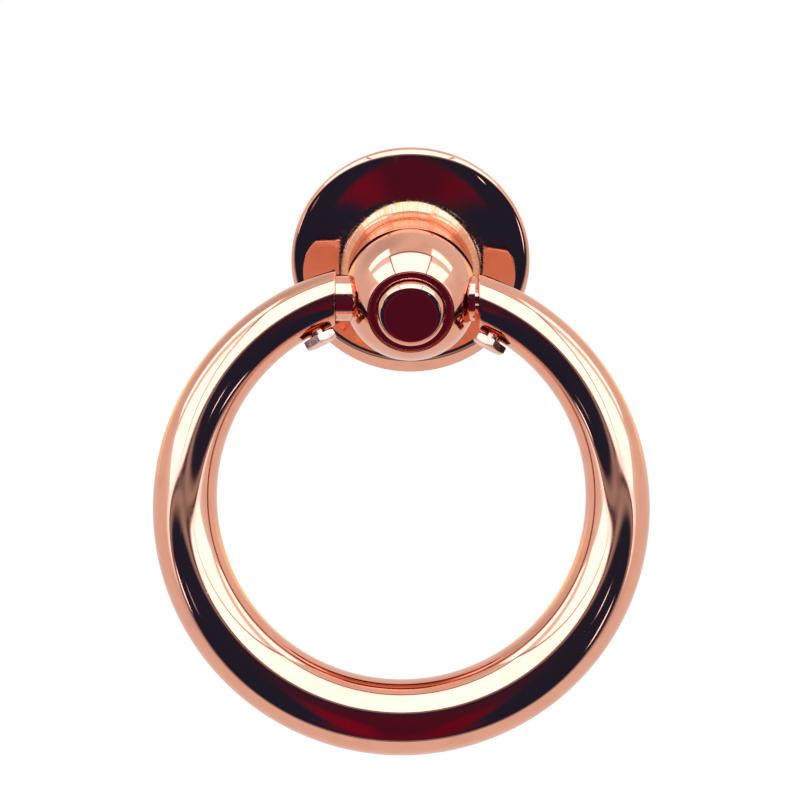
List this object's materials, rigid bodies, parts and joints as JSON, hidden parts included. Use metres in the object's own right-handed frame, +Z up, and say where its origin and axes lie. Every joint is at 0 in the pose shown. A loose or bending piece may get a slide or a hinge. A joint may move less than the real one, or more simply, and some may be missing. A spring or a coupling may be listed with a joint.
{
  "type": "ring pull handle",
  "caption": "Ring pull handle: a tapered open ring swings on two pins in a ball that stands on a flared round rosette.",
  "frame": {"origin": "middle of the rosette's back face, which lies on the drawer front", "axes": "-Y out of the drawer front towards the user, +Z up, +X to the right of someone who faces the drawer; the ring's hinge axis is along X"},
  "size_m": [0.0682, 0.0487, 0.0723],
  "materials": {
    "polished_rose_gold": "mirror-polished rose gold plate",
    "polished_pin": "turned and polished rose gold plate",
    "plated_screw": "satin rose gold plate"
  },
  "bodies": {
    "base": {"rosette_post": "polished_rose_gold"},
    "ring": {"pull_ring": "polished_rose_gold", "pivot_pin_left": "polished_pin", "pivot_pin_right": "polished_pin", "clamp_screw_left": "plated_screw", "clamp_screw_right": "plated_screw"}
  },
  "joints": [
    {"name": "ring_swing", "type": "hinge", "parent": "base", "child": "ring", "pos_m": [0, -0.015, 0], "axis": [1, 0, 0], "range_deg": [-159.7, 38.7]}
  ]
}
